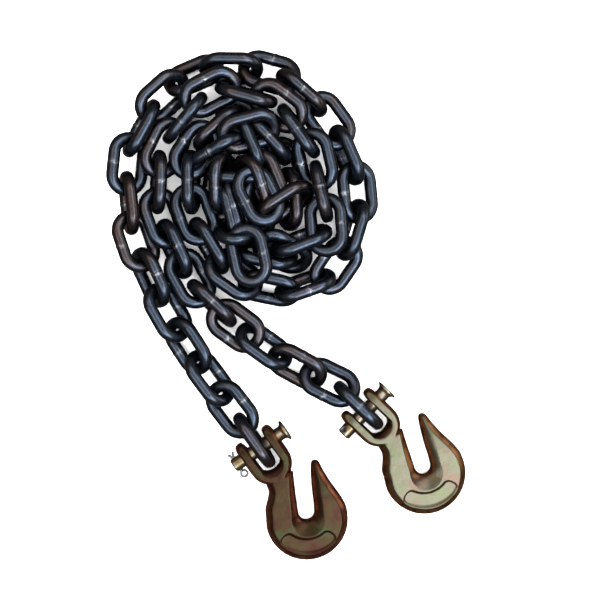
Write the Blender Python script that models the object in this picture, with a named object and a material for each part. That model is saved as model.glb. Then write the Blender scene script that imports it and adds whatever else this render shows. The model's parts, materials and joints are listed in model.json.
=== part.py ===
"""Load binder chain: a chain of welded links, folded in two and coiled, with a clevis grab hook on each end.

Metres, +Z up, standing on z = 0. Arm a runs from hook a round the outside of the coil, arm b from hook b
just inside it. Every link is a rigid solid of its own. The places in the two arms were chosen by hand, and
settle() then eases the links apart until every pair of wires has its clearance, so that they hook into each
other, lie beside and lean on each other, and never share a place.
"""

import math

import bmesh
import bpy
import numpy as np
from mathutils import Matrix, Vector

# the chain
WIRE = 0.0100  # diameter of the link's wire
PITCH = 0.0310  # inside length of a link
INSIDE_WIDTH = 0.0140
WIRE_GAP = 0.00060  # air kept between any two wires
LAY_PITCH = 0.0310  # the pitch that the places below were chosen for

# the clevis and its pin
PIN_DIAMETER = 0.0110
PIN_CLEARANCE = 0.0003  # all round the pin in its bores, and round the cotter pin in its hole
PIN_SLACK = 0.0026  # play between the pin and the crown of the last link
EAR_GAP = 0.0160  # between the ears, where the last link stands
EAR_THICKNESS = 0.0090
EAR_END = 0.0120  # from the pin's axis to the end of an ear
CLEVIS_DEPTH = 0.0225  # from the pin's axis to the bottom of the clevis
HEAD_REACH = 0.0060  # bare shank between the ear and the pin's head
HEAD_DIAMETER = 0.0170
HEAD_THICKNESS = 0.0022
TAIL_REACH = 0.0078  # of the pin beyond the other ear
COTTER_DIAMETER = 0.0030
COTTER_EYE = 0.0025  # middle radius of its eye
COTTER_TAIL = 0.0021  # of its shank beyond the clevis pin, where its two ends bend apart
COTTER_SPREAD = 0.0022

# the hook
THROAT = 0.0125  # width of the slot that grips a link
BELLY_RADIUS = 0.0324
BELLY_DROP = 0.0059  # the belly's centre lies this far below the slot's round bottom
SLOT_ANGLE = math.radians(30)  # between the clevis and the slot
SLOT_REACH = 0.0622  # from the pin's axis to the centre of the slot's round bottom
SLOT_OFFSET = 0.0008  # of that centre from the clevis's middle line
NECK_WIDTH = 0.0216  # the shank's, at its narrowest
HOOK_THICKNESS = 0.0175
TIP_HEIGHT = 0.0400  # from that centre to the tip
FLAT_SHARE = 0.76  # of the belly's radius that its flat faces reach to
FLOOR_GAP = 0.0003

# Down the shank: how far its slot side flares, at what share of the shank's height, and then the same two
# numbers for its other side.
SHANK_ROWS = (
    (0.0012, 0.83, 0.0014, 0.60),
    (0.0010, 0.60, 0.0001, 0.46),
    (0.0007, 0.39, 0.0014, 0.31),
    (0.0003, 0.19, 0.0038, 0.14),
)

# Up the tip: at what share of its height, how far its slot side leans over the slot, what share of the
# belly's width is left there, and what share of the thickness.
TIP_ROWS = (
    (0.20, 0.0000, 0.89, 1.00),
    (0.34, 0.0003, 0.78, 0.98),
    (0.50, 0.0004, 0.63, 0.95),
    (0.64, 0.0003, 0.51, 0.90),
    (0.80, 0.0001, 0.38, 0.80),
    (0.93, -0.0004, 0.28, 0.64),
    (0.985, -0.0013, 0.19, 0.48),
    (1.00, -0.0024, 0.10, 0.34),
)

HOOK_HEADING = {"a": math.radians(-55), "b": math.radians(-44)}  # from the chain towards the hook, as laid
PIN_TURN = {"a": math.radians(180), "b": math.radians(60)}  # of each clevis pin in its ears, as laid

# Each row is a link: x and y in millimetres, the turn of its plane about its own length in degrees
# (0 lies flat, 90 stands on edge, positive lifts its left side), and its height as it is laid down.
ARM_A = (
    (-23, -106, 90, 17), (-42, -79, -25, 15), (-62, -55, 45, 14), (-77, -30, -45, 14), (-93, -6, 35, 14),
    (-104, 23, -60, 15), (-117, 52, 20, 15), (-121, 82, 90, 17), (-122, 112, 10, 15), (-108, 143, -80, 17),
    (-89, 164, 30, 13), (-62, 179, -40, 13), (-33, 181, -115, 15), (-2, 178, -10, 14), (20, 158, -85, 17),
    (41, 137, -10, 14), (54, 107, 70, 16), (58, 76, -20, 14), (54, 48, 80, 17), (37, 21, 0, 14),
    (9, 9, 60, 15), (-20, 16, -85, 17), (-47, 26, 15, 20), (-63, 50, -80, 22), (-72, 74, -15, 24),
    (-77, 102, 80, 24), (-72, 129, 0, 22), (-52, 149, 80, 20), (-26, 150, -10, 10), (-9, 133, 80, 20),
    (2, 108, -30, 24), (6, 84, 70, 20),
)
ARM_B = (
    (58, -79, 90, 17), (31, -61, 20, 15), (6, -47, -45, 14), (-16, -32, 60, 15), (-37, -15, -5, 15),
    (-55, 3, -85, 17), (-75, 19, 15, 18), (-82, 44, -80, 20), (-96, 68, 5, 20), (-102, 95, 90, 20),
    (-94, 120, 5, 20), (-78, 147, -70, 22), (-57, 161, 15, 22), (-31, 161, -80, 26), (-2, 153, 15, 26),
    (11, 128, -85, 26), (27, 112, 5, 20), (23, 85, 90, 20), (34, 59, 0, 20), (15, 48, 60, 26),
    (4, 34, -35, 16), (-16, 39, 45, 12),
)

LOOSE_LINKS = {"a": 6, "b": 6}  # of each arm, from its hook: they swing on the floor, the rest is coiled

# settle()'s own values
CURVE_POINTS = 48
SETTLE_ROUNDS = 700
LAYING_SHARE = 0.4  # of the rounds in which the links still sink and keep to their places
SINK = 0.015  # of a wire's diameter, each round
HOLD = 0.02  # share of the way back to its place, each round

CROWN_RADIUS = (INSIDE_WIDTH + WIRE) / 2
HALF_LENGTH = (PITCH + WIRE) / 2
HALF_STRAIGHT = HALF_LENGTH - CROWN_RADIUS
UP = np.array((0.0, 0.0, 1.0))


def clear_scene():
    for thing in list(bpy.data.objects):
        bpy.data.objects.remove(thing, do_unlink=True)


def material(name, colour, roughness, metallic):
    made = bpy.data.materials.new(name)
    made.use_nodes = True
    shader = made.node_tree.nodes["Principled BSDF"]
    shader.inputs["Base Color"].default_value = (*colour, 1.0)
    shader.inputs["Roughness"].default_value = roughness
    shader.inputs["Metallic"].default_value = metallic
    made.diffuse_color = (*colour, 1.0)
    return made


def add_object(name, mesh, look, place=None, hinge=None):
    """An object with its material. A hinge is an empty on a joint's axis, from which the object is hung."""
    made = bpy.data.objects.new(name, mesh)
    bpy.context.collection.objects.link(made)
    if not mesh.materials:
        mesh.materials.append(look)
    if hinge is not None:
        made.parent = hinge
        made.matrix_parent_inverse = hinge.matrix_basis.inverted()
    if place is not None:
        made.matrix_basis = place
    return made


def add_hinge(name, point):
    """An upright empty at a joint."""
    made = bpy.data.objects.new(name, None)
    made.empty_display_size = WIRE
    bpy.context.collection.objects.link(made)
    made.matrix_basis = Matrix.Translation(point)
    return made


def smooth_mesh(bm, name):
    bmesh.ops.recalc_face_normals(bm, faces=bm.faces)
    mesh = bpy.data.meshes.new(name)
    bm.to_mesh(mesh)
    bm.free()
    mesh.shade_smooth()
    mesh.set_sharp_from_angle(angle=math.radians(40))
    return mesh


# ---------------------------------------------------------------- the link


def stadium(crown_steps):
    """The closed centre curve of a link, along and across: a crown at each end and two straight legs.

    A crown's inner points stand a little proud of its circle, so that the flats between them stay near it.
    """
    points = []
    swell = (1 + 1 / math.cos(math.pi / crown_steps / 2)) / 2
    for end in (1, -1):
        for step in range(crown_steps + 1):
            angle = math.pi * step / crown_steps
            radius = CROWN_RADIUS * (swell if 0 < step < crown_steps else 1)
            along = HALF_STRAIGHT + radius * math.sin(angle)
            points.append((end * along, end * radius * math.cos(angle)))
    return points


def link_mesh(crown_steps=6, sides=8):
    """A wire swept round the centre curve: a ring at each of its points, turned square to the curve."""
    curve = stadium(crown_steps)
    bm = bmesh.new()
    rings = []
    for index, (x, y) in enumerate(curve):
        end = 1 if index <= crown_steps else -1
        out = Vector((x - end * HALF_STRAIGHT, y, 0)).normalized()
        ring = []
        for side in range(sides):
            angle = 2 * math.pi * (side + 0.5) / sides
            offset = WIRE / 2 * (out * math.cos(angle) + Vector((0, 0, 1)) * math.sin(angle))
            ring.append(bm.verts.new(Vector((x, y, 0)) + offset))
        rings.append(ring)
    for here, after in zip(rings, rings[1:] + rings[:1]):
        for side in range(sides):
            corner = (side + 1) % sides
            bm.faces.new((here[side], here[corner], after[corner], after[side]))
    return smooth_mesh(bm, "link")


# ---------------------------------------------------------------- laying the chain


def walked(rows):
    """The chosen places, with no step between two links longer than a taut pair of links allows."""
    longest = PITCH - 2 * WIRE_GAP
    places = [np.array(rows[0][:2], float) / 1000]
    scale = PITCH / LAY_PITCH
    places[0] *= scale
    for row in rows[1:]:
        step = np.array(row[:2], float) / 1000 * scale - places[-1]
        places.append(places[-1] + step * min(1.0, longest / np.linalg.norm(step)))
    return np.array(places)


def laid_frames(rows, heading):
    """Centres, and 3 x 3 turns whose columns are each link's length, width and face directions."""
    places = walked(rows)
    toward_hook = PITCH * np.array([[math.cos(heading), math.sin(heading)]])
    ahead = np.vstack((places[:1], places[2:], 2 * places[-1:] - places[-2:-1]))
    behind = np.vstack((places[:1] + toward_hook, places[:-1]))
    length = np.c_[ahead - behind, np.zeros(len(rows))]
    length /= np.linalg.norm(length, axis=1)[:, None]
    left = np.cross(UP, length)
    roll = np.radians([row[2] for row in rows])[:, None]
    width = np.cos(roll) * left + np.sin(roll) * UP
    height = np.array([row[3] for row in rows]) / 10 * WIRE
    height[0] = CROWN_RADIUS + WIRE / 2 + FLOOR_GAP
    turns = np.stack((length, width, np.cross(length, width)), axis=2)
    return np.c_[places, height], turns


def small_turns(vectors):
    """Turns about these vectors, each by its own length in radians."""
    angle = np.linalg.norm(vectors, axis=1)
    axis = vectors / np.maximum(angle, 1e-12)[:, None]
    cross = np.zeros((len(vectors), 3, 3))
    cross[:, 0, 1], cross[:, 0, 2], cross[:, 1, 2] = -axis[:, 2], axis[:, 1], -axis[:, 0]
    cross -= cross.transpose(0, 2, 1)
    sine, cosine = np.sin(angle)[:, None, None], np.cos(angle)[:, None, None]
    return np.eye(3) + sine * cross + (1 - cosine) * (cross @ cross)


def even_curve():
    """CURVE_POINTS points, evenly spaced along the link's centre curve, in the link's own plane."""
    leg, crown = 2 * HALF_STRAIGHT, math.pi * CROWN_RADIUS
    points = []
    for step in range(CURVE_POINTS):
        run = step / CURVE_POINTS * 2 * (leg + crown)
        side = 1 if run < leg + crown else -1
        run -= 0 if side == 1 else leg + crown
        if run < leg:
            points.append((side * (run - leg / 2), side * CROWN_RADIUS, 0))
        else:
            angle = (run - leg) / CROWN_RADIUS
            along = HALF_STRAIGHT + CROWN_RADIUS * math.sin(angle)
            points.append((side * along, side * CROWN_RADIUS * math.cos(angle), 0))
    return np.array(points)


def share_push(push, centres, first, second, at_first, at_second, normal, overlap, free, inertia):
    """Adds to push what moves and turns each pair of links apart, split by how free each one is."""
    lever_1 = np.cross(at_first - centres[first], normal)
    lever_2 = np.cross(at_second - centres[second], normal)
    ease_1 = free[first] * (1 + (lever_1**2).sum(1) / inertia)
    ease_2 = free[second] * (1 + (lever_2**2).sum(1) / inertia)
    amount = (overlap / np.maximum(ease_1 + ease_2, 1e-9))[:, None]
    np.add.at(push[0], first, amount * normal)
    np.add.at(push[0], second, -amount * normal)
    np.add.at(push[1], first, amount * lever_1 / inertia)
    np.add.at(push[1], second, -amount * lever_2 / inertia)
    touching = overlap > 0
    np.add.at(push[2], first, touching)
    np.add.at(push[2], second, touching)


def settle(centres, turns, held):
    """Eases the links apart until no two wires are closer than WIRE + WIRE_GAP and none is in the floor."""
    curve = even_curve()
    free = 1.0 - np.array(held, float)
    inertia = 3.2 * WIRE**2
    reach = 2 * HALF_LENGTH + 1.5 * WIRE
    count = len(centres)
    rows = np.arange(count)
    home, home_turns = centres.copy(), turns.copy()
    for number in range(SETTLE_ROUNDS):
        if number % 15 == 0:
            spread = np.linalg.norm(centres[:, None] - centres, axis=2)
            first, second = np.where(np.triu(spread < reach, 1))
            pairs = np.arange(len(first))
        if number < LAYING_SHARE * SETTLE_ROUNDS:
            centres[:, 2] -= SINK * WIRE * free
            centres[:, :2] += HOLD * (home - centres)[:, :2] * free[:, None]
            off = home_turns @ turns.transpose(0, 2, 1)
            off = off - off.transpose(0, 2, 1)
            back = np.stack((off[:, 2, 1], off[:, 0, 2], off[:, 1, 0]), 1)
            turns = small_turns(HOLD / 2 * back * free[:, None]) @ turns
        wires = np.einsum("nij,mj->nmi", turns, curve) + centres[:, None]
        push = [np.zeros((count, 3)), np.zeros((count, 3)), np.zeros(count)]
        lowest = wires[rows, wires[:, :, 2].argmin(1)]
        sunk = np.maximum(0, WIRE / 2 + FLOOR_GAP - lowest[:, 2])
        lever = np.cross(lowest - centres, UP)
        amount = (sunk / (1 + (lever**2).sum(1) / inertia))[:, None]
        push[0] += amount * UP
        push[1] += amount * lever / inertia
        push[2] += sunk > 0
        gaps = ((wires[first][:, :, None] - wires[second][:, None]) ** 2).sum(-1).reshape(len(first), -1)
        closest = gaps.argmin(1)
        distance = np.sqrt(gaps[pairs, closest])
        at_first = wires[first, closest // CURVE_POINTS]
        at_second = wires[second, closest % CURVE_POINTS]
        normal = (at_first - at_second) / np.maximum(distance, 1e-9)[:, None]
        overlap = np.maximum(0, WIRE + WIRE_GAP - distance)
        share_push(push, centres, first, second, at_first, at_second, normal, overlap, free, inertia)
        ease = (0.9 / np.sqrt(np.maximum(1, push[2])) * free)[:, None]
        centres = centres + push[0] * ease
        turns = small_turns(push[1] * ease) @ turns
    return centres, turns


def placed(centre, turn):
    matrix = Matrix(turn.tolist()).to_4x4()
    matrix.translation = centre
    return matrix


def hinge_point(link, neighbour):
    """Midway between the two crowns that hook into each other."""
    ahead = (neighbour.translation - link.translation).normalized()
    here = link.translation + ahead * (HALF_LENGTH - WIRE / 2)
    there = neighbour.translation - ahead * (HALF_LENGTH - WIRE / 2)
    return (here + there) / 2


def lay_chain(look):
    """Both arms, settled together. The last link of each arm is held upright in its hook's clevis."""
    arms = [laid_frames(ARM_A, HOOK_HEADING["a"]), laid_frames(ARM_B, HOOK_HEADING["b"])]
    centres = np.vstack([arm[0] for arm in arms])
    turns = np.vstack([arm[1] for arm in arms])
    held = [index in (0, len(ARM_A)) for index in range(len(centres))]
    centres, turns = settle(centres, turns, held)
    mesh = link_mesh()
    places = [placed(centre, turn) for centre, turn in zip(centres.tolist(), turns)]
    arms = {"a": places[: len(ARM_A)], "b": places[len(ARM_A) :]}
    for arm, links in arms.items():
        for index, place in enumerate(links):
            name = f"{arm}{index + 1:02d}"
            loose = index < LOOSE_LINKS[arm]
            hinge = add_hinge(f"hinge_{name}", hinge_point(place, links[index + 1])) if loose else None
            add_object(f"link_{name}", mesh, look, place, hinge)
    return arms["a"][0], arms["b"][0]


# ---------------------------------------------------------------- the hook


def swept_body(stations):
    """A body through stations, each a pair of edge points and a half thickness, with sloping flanks."""
    flank = ((1.0, 0.0), (0.93, 0.45), (0.78, 0.8), (0.52, 1.0))
    outline = list(flank) + [(-x, z) for x, z in reversed(flank)]
    outline += [(x, -z) for x, z in reversed(outline[1:-1])]
    bm = bmesh.new()
    rings = []
    for inner, outer, half in stations:
        middle = (Vector(inner) + Vector(outer)) / 2
        across = (Vector(outer) - Vector(inner)) / 2
        rings.append([bm.verts.new((*(middle + across * x), half * z)) for x, z in outline])
    for here, after in zip(rings, rings[1:]):
        for side in range(len(outline)):
            corner = (side + 1) % len(outline)
            bm.faces.new((here[side], here[corner], after[corner], after[side]))
    bm.faces.new(rings[0])
    bm.faces.new(list(reversed(rings[-1])))
    return smooth_mesh(bm, "body")


def clevis_stations():
    """The U of the clevis about the pin's axis: two ears and the round bottom that joins them."""
    inner, outer = EAR_GAP / 2, EAR_GAP / 2 + EAR_THICKNESS
    turn_at = CLEVIS_DEPTH - inner
    half = HOOK_THICKNESS / 2
    ear = [(-EAR_END, 0.45, 0.25), (-0.82 * EAR_END, 0.75, 0.08)]
    ear += [(-0.45 * EAR_END, 0.96, 0.0), (0, 1.0, 0.0)]
    ear.append((turn_at, 1.0, 0.0))
    stations = []
    for along, thick, trim in ear:
        pare = trim * EAR_THICKNESS
        stations.append(((inner + pare, along), (outer - pare, along), half * thick))
    for step in range(1, 8):
        angle = math.pi * step / 8
        swing = (math.cos(angle), math.sin(angle))
        near = (inner * swing[0], turn_at + inner * swing[1])
        far = (outer * swing[0], turn_at + outer * swing[1])
        stations.append((near, far, half))
    for along, thick, trim in reversed(ear):
        pare = trim * EAR_THICKNESS
        stations.append(((-inner - pare, along), (-outer + pare, along), half * thick))
    return stations


def belly_reach(angle):
    """From the slot's centre out to the belly's outer edge, at an angle from the slot's tip side."""
    along = BELLY_DROP * math.sin(angle)
    return math.sqrt(BELLY_RADIUS**2 - BELLY_DROP**2 + along**2) - along


def slot_to_clevis(point):
    """Slot coordinates (tip side, opening) turned and moved into the clevis's (side, along)."""
    sine, cosine = math.sin(SLOT_ANGLE), math.cos(SLOT_ANGLE)
    side, opening = point
    return SLOT_OFFSET + cosine * side + sine * opening, SLOT_REACH + sine * side - cosine * opening


def hook_stations():
    """From the clevis down the shank, round the belly and up to the tip, in the slot's own coordinates."""
    half = HOOK_THICKNESS / 2
    wall = THROAT / 2
    neck = wall + NECK_WIDTH
    shank = SLOT_REACH - CLEVIS_DEPTH
    rows = []
    for near, near_height, far, far_height in SHANK_ROWS:
        rows.append(((-wall - near, near_height * shank), (-neck - far, far_height * shank), half))
    for step in range(9):
        angle = math.pi * (1 + step / 8)
        swing = (math.cos(angle), math.sin(angle))
        reach = belly_reach(angle)
        rows.append(((wall * swing[0], wall * swing[1]), (reach * swing[0], reach * swing[1]), half))
    side = belly_reach(0)
    for height, inset, width, thick in TIP_ROWS:
        near = wall - inset
        far = near + (side - wall) * width
        rows.append(((near, height * TIP_HEIGHT), (far, height * TIP_HEIGHT), half * thick))
    return [(slot_to_clevis(inner), slot_to_clevis(outer), thick) for inner, outer, thick in rows]


def joined(target, other, operation):
    """Applies one exact Boolean to target and removes the other object."""
    change = target.modifiers.new(operation.lower(), "BOOLEAN")
    change.operation = operation
    change.solver = "EXACT"
    change.object = other
    graph = bpy.context.evaluated_depsgraph_get()
    result = bpy.data.meshes.new_from_object(target.evaluated_get(graph))
    target.modifiers.clear()
    target.data = result
    bpy.data.objects.remove(other, do_unlink=True)


def rod(radius, start, end, sides=20):
    """A closed cylinder between two points."""
    start, end = Vector(start), Vector(end)
    bm = bmesh.new()
    bmesh.ops.create_cone(
        bm, cap_ends=True, segments=sides, radius1=radius, radius2=radius, depth=(end - start).length
    )
    turn = (end - start).to_track_quat("Z", "Y").to_matrix().to_4x4()
    bmesh.ops.transform(bm, matrix=Matrix.Translation((start + end) / 2) @ turn, verts=bm.verts)
    return smooth_mesh(bm, "rod")


def ear_face():
    return EAR_GAP / 2 + EAR_THICKNESS


def hook_mesh(look):
    """Clevis and hook in one forging, with the pin's bore through both ears. The origin is on the bore."""
    hook = add_object("hook", swept_body(clevis_stations()), look)
    joined(hook, add_object("shank", swept_body(hook_stations()), look), "UNION")
    reach = 2 * ear_face()
    bore = rod(PIN_DIAMETER / 2 + PIN_CLEARANCE, (-reach, 0, 0), (reach, 0, 0), 24)
    joined(hook, add_object("bore", bore, look), "DIFFERENCE")
    mesh = hook.data
    bpy.data.objects.remove(hook, do_unlink=True)
    mesh.shade_smooth()
    mesh.set_sharp_from_angle(angle=math.radians(40))
    return mesh


def turned(profile, sides=24):
    """A closed solid of revolution about X from (x, radius) pairs."""
    bm = bmesh.new()
    rings = []
    for x, radius in profile:
        angles = [2 * math.pi * side / sides for side in range(sides)]
        rings.append([bm.verts.new((x, radius * math.cos(a), radius * math.sin(a))) for a in angles])
    for here, after in zip(rings, rings[1:]):
        for side in range(sides):
            corner = (side + 1) % sides
            bm.faces.new((here[side], here[corner], after[corner], after[side]))
    bm.faces.new(rings[0])
    bm.faces.new(list(reversed(rings[-1])))
    return smooth_mesh(bm, "turned")


def cotter_place():
    """Where the cotter pin crosses the clevis pin: midway along the tail that stands out of the ear."""
    return -(ear_face() + 0.55 * TAIL_REACH)


def clevis_pin_mesh(look):
    radius, chamfer = PIN_DIAMETER / 2, 0.0007
    tail = -(ear_face() + TAIL_REACH)
    neck = ear_face() + HEAD_REACH
    head = HEAD_DIAMETER / 2
    profile = [(tail, radius - chamfer), (tail + chamfer, radius), (neck - 0.0035, radius)]
    profile += [(neck, head - chamfer), (neck + chamfer, head), (neck + HEAD_THICKNESS - chamfer, head)]
    profile.append((neck + HEAD_THICKNESS, head - chamfer))
    pin = add_object("pin", turned(profile), look)
    across = cotter_place()
    hole = rod(COTTER_DIAMETER / 2 + PIN_CLEARANCE, (across, -0.02, 0), (across, 0.02, 0), 12)
    joined(pin, add_object("hole", hole, look), "DIFFERENCE")
    mesh = pin.data
    bpy.data.objects.remove(pin, do_unlink=True)
    mesh.shade_smooth()
    mesh.set_sharp_from_angle(angle=math.radians(40))
    return mesh


def ring_mesh(radius, wire, steps=20, sides=8):
    """A torus in the plane that holds X and Y."""
    bm = bmesh.new()
    rings = []
    for step in range(steps):
        angle = 2 * math.pi * step / steps
        out = Vector((math.cos(angle), math.sin(angle), 0))
        ring = []
        for side in range(sides):
            turn = 2 * math.pi * side / sides
            lift = Vector((0, 0, wire * math.sin(turn)))
            ring.append(bm.verts.new(out * (radius + wire * math.cos(turn)) + lift))
        rings.append(ring)
    for here, after in zip(rings, rings[1:] + rings[:1]):
        for side in range(sides):
            corner = (side + 1) % sides
            bm.faces.new((here[side], here[corner], after[corner], after[side]))
    return smooth_mesh(bm, "ring")


def cotter_mesh(look):
    """Shank through the clevis pin, an eye at one end, and the two ends bent apart at the other."""
    radius = COTTER_DIAMETER / 2
    middle = cotter_place()
    eye_at = -PIN_DIAMETER / 2 - COTTER_EYE - radius
    end = PIN_DIAMETER / 2 + COTTER_TAIL
    cotter = add_object("cotter", rod(radius, (middle, eye_at + COTTER_EYE, 0), (middle, end, 0), 10), look)
    eye = ring_mesh(COTTER_EYE, 0.75 * radius)
    eye.transform(Matrix.Translation((middle, eye_at, 0)))
    joined(cotter, add_object("eye", eye, look), "UNION")
    for side in (-1, 1):
        start = (middle, end - 0.6 * radius, 0)
        finish = (middle + side * COTTER_SPREAD, end + 0.8 * COTTER_SPREAD, 0)
        joined(cotter, add_object("leg", rod(0.62 * radius, start, finish, 8), look), "UNION")
    mesh = cotter.data
    bpy.data.objects.remove(cotter, do_unlink=True)
    mesh.shade_smooth()
    mesh.set_sharp_from_angle(angle=math.radians(40))
    return mesh


def hook_place(last_link):
    """On the last link's line: the pin inside its crown, the hook pitched down until its belly rests."""
    back = PITCH / 2 - PIN_DIAMETER / 2 - PIN_SLACK
    ahead = last_link.to_3x3() @ Vector((-1, 0, 0))
    ahead.z = 0
    ahead.normalize()
    pin_at = last_link.translation + ahead * back
    belly = SLOT_REACH + BELLY_DROP + FLAT_SHARE * BELLY_RADIUS
    drop = pin_at.z - HOOK_THICKNESS / 2 - FLOOR_GAP
    pitch = Matrix.Rotation(math.asin(drop / belly), 4, "X")
    side = Vector((-ahead.y, ahead.x, 0))
    heading = Matrix((side, ahead, side.cross(ahead))).transposed().to_4x4()
    return Matrix.Translation(pin_at) @ heading @ pitch


def stand_on_origin():
    """Moves the whole assembly so that its box stands centred on the origin."""
    bpy.context.view_layer.update()
    solids = [thing for thing in bpy.context.collection.objects if thing.type == "MESH"]
    corners = [thing.matrix_world @ vertex.co for thing in solids for vertex in thing.data.vertices]
    corners = np.array(corners)
    low, high = corners.min(0), corners.max(0)
    shift = Vector((-(low[0] + high[0]) / 2, -(low[1] + high[1]) / 2, -low[2]))
    for thing in bpy.context.collection.objects:
        if thing.parent is None:
            thing.matrix_basis = Matrix.Translation(shift) @ thing.matrix_basis


def build():
    clear_scene()
    black = material("black_oxide_steel", (0.035, 0.037, 0.043), 0.36, 0.85)
    gold = material("yellow_zinc_forging", (0.42, 0.34, 0.20), 0.38, 0.9)
    silver = material("bright_zinc_pin", (0.62, 0.58, 0.47), 0.30, 0.9)
    hook, pin, cotter = hook_mesh(gold), clevis_pin_mesh(silver), cotter_mesh(silver)
    for arm, last_link in zip("ab", lay_chain(black)):
        place = hook_place(last_link)
        add_object(f"grab_hook_{arm}", hook, gold, place)
        turned_place = place @ Matrix.Rotation(PIN_TURN[arm], 4, "X")
        add_object(f"clevis_pin_{arm}", pin, silver, turned_place)
        add_object(f"cotter_pin_{arm}", cotter, silver, turned_place)
    stand_on_origin()


build()
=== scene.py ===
# %% [markdown]
# # A load binder chain
# A tie-down chain for a lorry's load: welded steel links, and at each end a grab hook pinned to the
# last link by a clevis pin. It lies on the ground, folded in two and coiled. The design of the
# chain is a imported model, which holds every link's place and every joint. This script loads it as a
# fixed frame and gives it its looks: round wires with their welds, forged hooks, and the finishes
# of the steel.

# %% Load the frame
import json
import math

import bmesh
import bpy
import numpy as np
from mathutils import Matrix, Vector


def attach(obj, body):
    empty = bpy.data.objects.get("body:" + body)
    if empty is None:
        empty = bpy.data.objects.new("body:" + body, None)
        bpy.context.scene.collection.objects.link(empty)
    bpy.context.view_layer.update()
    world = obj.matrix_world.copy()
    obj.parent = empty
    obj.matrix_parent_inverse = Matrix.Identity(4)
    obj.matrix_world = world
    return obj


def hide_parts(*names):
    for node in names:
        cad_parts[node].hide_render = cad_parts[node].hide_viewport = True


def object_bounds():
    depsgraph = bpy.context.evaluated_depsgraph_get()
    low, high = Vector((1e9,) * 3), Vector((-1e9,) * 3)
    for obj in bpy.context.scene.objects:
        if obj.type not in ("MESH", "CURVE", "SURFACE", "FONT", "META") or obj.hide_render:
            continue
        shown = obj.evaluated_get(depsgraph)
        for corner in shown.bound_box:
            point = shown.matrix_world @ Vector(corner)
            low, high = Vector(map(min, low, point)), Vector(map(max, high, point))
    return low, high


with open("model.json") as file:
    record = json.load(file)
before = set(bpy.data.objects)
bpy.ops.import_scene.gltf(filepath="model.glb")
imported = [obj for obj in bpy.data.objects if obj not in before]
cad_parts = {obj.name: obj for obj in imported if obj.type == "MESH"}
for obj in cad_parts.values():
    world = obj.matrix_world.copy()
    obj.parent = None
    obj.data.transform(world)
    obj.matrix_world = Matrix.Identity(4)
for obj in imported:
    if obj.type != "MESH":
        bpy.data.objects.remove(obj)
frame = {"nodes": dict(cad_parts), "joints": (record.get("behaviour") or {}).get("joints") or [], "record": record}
cad_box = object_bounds()
joints = {joint["name"]: joint for joint in frame["joints"]}
mounts = {mount["name"]: mount for mount in frame["record"]["mounts"]}
print("solids:", len(frame["nodes"]), "joints:", len(joints))

# %% The chain's own sizes, in metres
WIRE = 0.0100  # diameter
INSIDE_LENGTH = 0.0310
INSIDE_WIDTH = 0.0140
AIR = 0.0006  # between two wires
CROWN = (INSIDE_WIDTH + WIRE) / 2  # radius of the centre curve's round ends
HALF_LEG = (INSIDE_LENGTH + WIRE) / 2 - CROWN
print("a link is", round((INSIDE_LENGTH + 2 * WIRE) * 1000), "mm long over all")

# %% [markdown]
# ## Where each link lies
# A link's solid is symmetric about three planes, so its place can be read back from its corners:
# their middle is its centre, and the directions in which they spread most, less and least are its
# length, its width and the line square to its face. That is what an eigenvector of the covariance
# gives. No list of places is needed.

# %% Read a link's place from its solid
link_nodes = sorted(name for name in frame["nodes"] if name.startswith("link_"))


def read_place(node):
    corners = np.array([vertex.co for vertex in frame["nodes"][node].data.vertices], float)
    _, spread = np.linalg.eigh(np.cov((corners - corners.mean(0)).T))
    along = (corners - corners.mean(0)) @ spread
    centre = corners.mean(0) + spread @ ((along.max(0) + along.min(0)) / 2)
    length, width = spread[:, 2], spread[:, 1]
    return centre, np.stack((length, width, np.cross(length, width)), axis=1)


places = {node: read_place(node) for node in link_nodes}
print("links among the solids:", len(places))

# %% [markdown]
# ## The links in the middle of the coil
# The fold of the chain lies in the middle of the coil, partly under it and partly on top. Its links aren't solids
# of the model, so they are laid here. Each gets a place and a heading, as a person drops them, and the turn of its
# plane about its own length. They are let down and eased apart: wherever two wires are closer than they can be,
# both links move and turn out of the way a little, many times over, while the solids of the frame stay where they
# are. This doesn't end clean, because there is too little room: three of the fold's joins stay open, some links
# cross that shouldn't, and some wires still pass through each other. The cell that eases them prints how close the
# closest come.

# %% The fold's links: x, y in millimetres, heading and turn in degrees, and the height
FOLD = (
    (-8, 74, 204, 85, 24), (-25, 74, 90, 12, 23), (-27, 97, 100, 85, 24), (-40, 99, 180, 60, 13),
    (-51, 93, 265, 85, 24), (-46, 71, 297, 50, 14), (-32, 57, 0, -40, 10), (-19, 71, 67, 40, 10),
    (-15, 98, 97, -40, 12), (-25, 123, 121, 60, 22), (-40, 139, 182, -40, 26), (-58, 122, 241, 60, 22),
    (-64, 96, 275, -25, 10), (-54, 73, 298, 60, 16), (-39, 49, 318, 85, 24),
)


def fold_places():
    """Centres and turns as first laid."""
    rows = np.array(FOLD, float)
    heading, roll = np.radians(rows[:, 2]), np.radians(rows[:, 3:4])
    up = np.array((0.0, 0.0, 1.0))
    length = np.stack((np.cos(heading), np.sin(heading), 0 * heading), axis=1)
    width = np.cos(roll) * np.cross(up, length) + np.sin(roll) * up
    return rows[:, [0, 1, 4]] / 1000, np.stack((length, width, np.cross(length, width)), axis=2)


print("links in the fold:", len(FOLD))

# %% The centre curve of a link, and small turns
CURVE_POINTS = 48


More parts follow.
